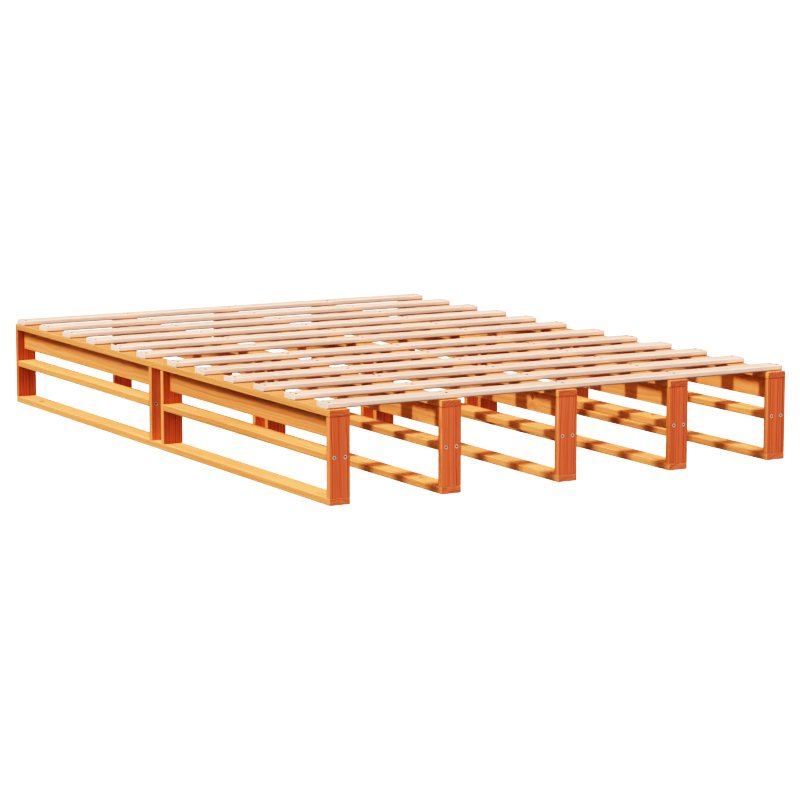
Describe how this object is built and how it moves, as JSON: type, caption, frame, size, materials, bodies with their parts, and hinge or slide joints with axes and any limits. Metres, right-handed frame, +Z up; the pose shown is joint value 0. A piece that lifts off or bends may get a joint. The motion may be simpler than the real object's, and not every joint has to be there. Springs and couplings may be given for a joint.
{
  "type": "slatted bed base",
  "caption": "Low pine bed base: ladder-built frames stand side by side on the floor and carry slats screwed across them, ready for a mattress.",
  "frame": {"origin": "on the floor, under the middle of the base", "axes": "+Z up; +Y from the foot end to the head end, along the frames; +X along the slats, to the right seen from the foot end"},
  "size_m": [1.4, 2, 0.2553],
  "materials": {
    "waxed_pine": "honey wax, satin",
    "pale_pine": "pale, satin"
  },
  "bodies": {
    "root": {"left_outer_bottom_rail": "waxed_pine", "left_outer_top_rail": "waxed_pine", "left_outer_foot_post": "waxed_pine", "left_outer_foot_mid_post": "waxed_pine", "left_outer_foot_stretcher": "waxed_pine", "left_outer_foot_apron": "waxed_pine", "left_outer_head_post": "waxed_pine", "left_outer_head_mid_post": "waxed_pine", "left_outer_head_stretcher": "waxed_pine", "left_outer_head_apron": "waxed_pine", "left_inner_bottom_rail": "waxed_pine", "left_inner_top_rail": "waxed_pine", "left_inner_foot_post": "waxed_pine", "left_inner_foot_mid_post": "waxed_pine", "left_inner_foot_stretcher": "waxed_pine", "left_inner_foot_apron": "waxed_pine", "left_inner_head_post": "waxed_pine", "left_inner_head_mid_post": "waxed_pine", "left_inner_head_stretcher": "waxed_pine", "left_inner_head_apron": "waxed_pine", "centre_bottom_rail": "waxed_pine", "centre_top_rail": "waxed_pine", "centre_foot_post": "waxed_pine", "centre_foot_mid_post": "waxed_pine", "centre_foot_stretcher": "waxed_pine", "centre_head_post": "waxed_pine", "centre_head_mid_post": "waxed_pine", "centre_head_stretcher": "waxed_pine", "right_inner_bottom_rail": "waxed_pine", "right_inner_top_rail": "waxed_pine", "right_inner_foot_post": "waxed_pine", "right_inner_foot_mid_post": "waxed_pine", "right_inner_foot_stretcher": "waxed_pine", "right_inner_foot_apron": "waxed_pine", "right_inner_head_post": "waxed_pine", "right_inner_head_mid_post": "waxed_pine", "right_inner_head_stretcher": "waxed_pine", "right_inner_head_apron": "waxed_pine", "right_outer_bottom_rail": "waxed_pine", "right_outer_top_rail": "waxed_pine", "right_outer_foot_post": "waxed_pine", "right_outer_foot_mid_post": "waxed_pine", "right_outer_foot_stretcher": "waxed_pine", "right_outer_foot_apron": "waxed_pine", "right_outer_head_post": "waxed_pine", "right_outer_head_mid_post": "waxed_pine", "right_outer_head_stretcher": "waxed_pine", "right_outer_head_apron": "waxed_pine", "slat_01": "pale_pine", "slat_02": "pale_pine", "slat_03": "pale_pine", "slat_04": "pale_pine", "slat_05": "pale_pine", "slat_06": "pale_pine", "slat_07": "pale_pine", "slat_08": "pale_pine", "slat_09": "pale_pine", "slat_10": "pale_pine", "slat_11": "pale_pine", "slat_12": "pale_pine"}
  },
  "joints": []
}
